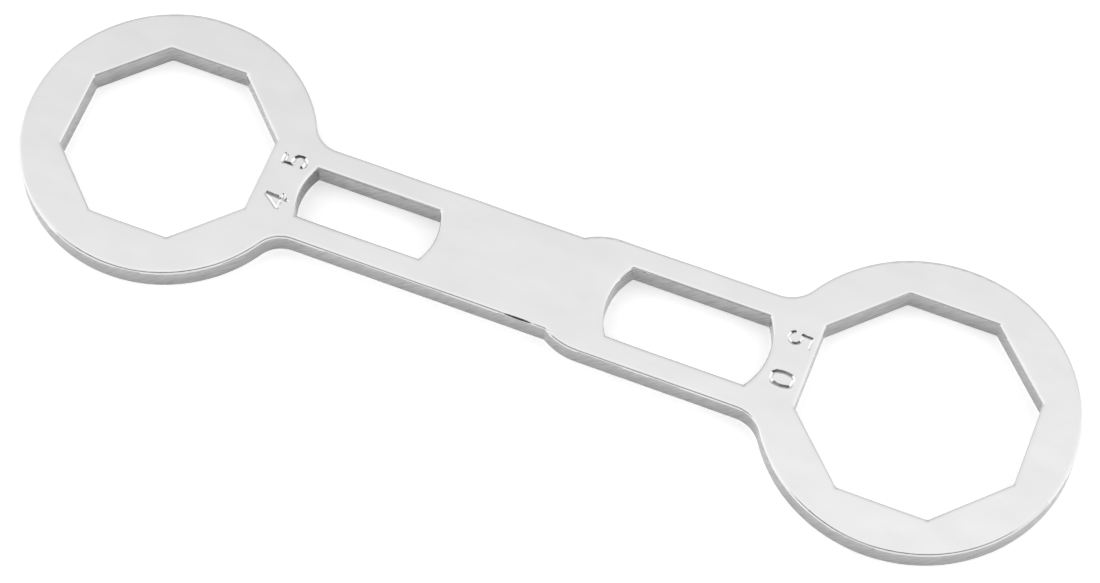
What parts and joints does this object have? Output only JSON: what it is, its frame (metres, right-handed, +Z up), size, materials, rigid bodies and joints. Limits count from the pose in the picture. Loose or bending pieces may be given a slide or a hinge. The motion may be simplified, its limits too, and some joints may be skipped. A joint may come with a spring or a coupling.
{
  "type": "fork cap wrench",
  "caption": "Flat double-ended wrench with an octagonal ring at each end, a stepped handle and two long slots, for turning suspension fork caps.",
  "frame": {"origin": "middle of the wrench's outline, on the underside that it lies on", "axes": "+X along the handle towards the large opening, +Y across the handle, +Z up through the plate, out of the face with the stamped numbers"},
  "size_m": [0.25, 0.072, 0.006],
  "materials": {
    "plated_steel": "bright plated steel, softly polished, with cut side walls and filed edges"
  },
  "bodies": {
    "root": {"wrench_plate": "plated_steel"}
  },
  "joints": []
}
